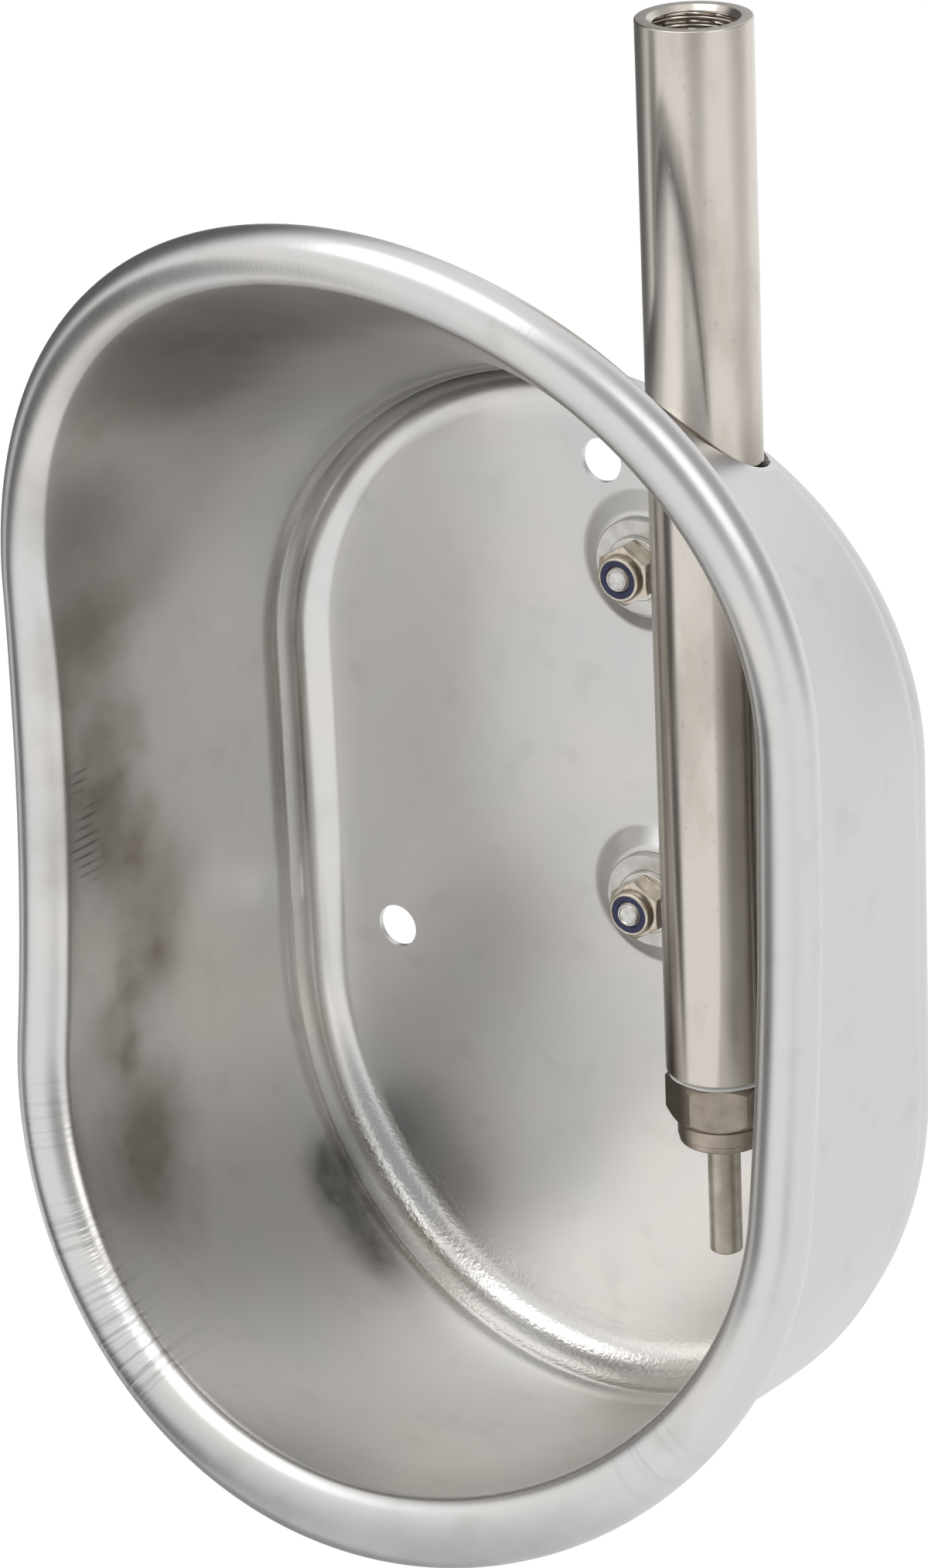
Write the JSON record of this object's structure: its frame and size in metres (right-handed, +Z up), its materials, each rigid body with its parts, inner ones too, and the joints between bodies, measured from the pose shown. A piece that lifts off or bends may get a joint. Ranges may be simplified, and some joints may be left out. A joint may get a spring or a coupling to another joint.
{
  "type": "livestock drinking bowl",
  "caption": "Wall-mounted stainless drinking bowl for livestock, with rolled rim, vertical water tube and a tilting nipple valve.",
  "frame": {"origin": "on the wall face of the bowl, midway between the two lower screw holes", "axes": "+Z up, +Y into the wall, -Y out of the bowl towards the animal, +X to the right as the animal sees it"},
  "size_m": [0.2206, 0.1297, 0.3611],
  "materials": {
    "bowl_steel": "satin deep-drawn stainless sheet",
    "tube_steel": "polished stainless tube",
    "nipple_steel": "turned stainless",
    "pin_steel": "turned stainless",
    "lug_steel": "stainless flat",
    "bolt_steel": "stainless fastener",
    "washer_steel": "stainless washer",
    "nut_steel": "stainless lock nut",
    "blue_nylon": "dark blue nylon",
    "thread_tape": "white tape",
    "seal_rubber": "black nitrile",
    "white_plastic": "acetal",
    "spring_steel": "spring wire"
  },
  "bodies": {
    "bowl": {"bowl_shell": "bowl_steel", "water_tube": "tube_steel", "nipple_body": "nipple_steel", "seal_tape": "thread_tape", "seat_ring": "seal_rubber", "valve_spring": "spring_steel", "spring_retainer": "white_plastic", "flow_jet": "white_plastic", "inlet_strainer": "white_plastic", "upper_lug": "lug_steel", "upper_bolt": "bolt_steel", "upper_washer": "washer_steel", "upper_nut": "nut_steel", "upper_lock_ring": "blue_nylon", "lower_lug": "lug_steel", "lower_bolt": "bolt_steel", "lower_washer": "washer_steel", "lower_nut": "nut_steel", "lower_lock_ring": "blue_nylon"},
    "pin": {"valve_pin": "pin_steel"},
    "cap": {"spring_cap": "white_plastic"}
  },
  "joints": [
    {"name": "pin_tilt", "type": "hinge", "parent": "bowl", "child": "pin", "pos_m": [0.0407, -0.02695, -0.0104], "axis": [1, 0, 0], "range_deg": [0, 8], "stiffness_Nm_per_rad": 0.2, "springref_deg": -2.86},
    {"name": "cap_lift", "type": "slide", "parent": "bowl", "child": "cap", "axis": [0, 0, 1], "range_m": [0, 0.002], "deforming": ["valve_spring"]}
  ],
  "couplings": [
    {"joint": "cap_lift", "follows": "pin_tilt", "m_per_rad": 0.013}
  ]
}
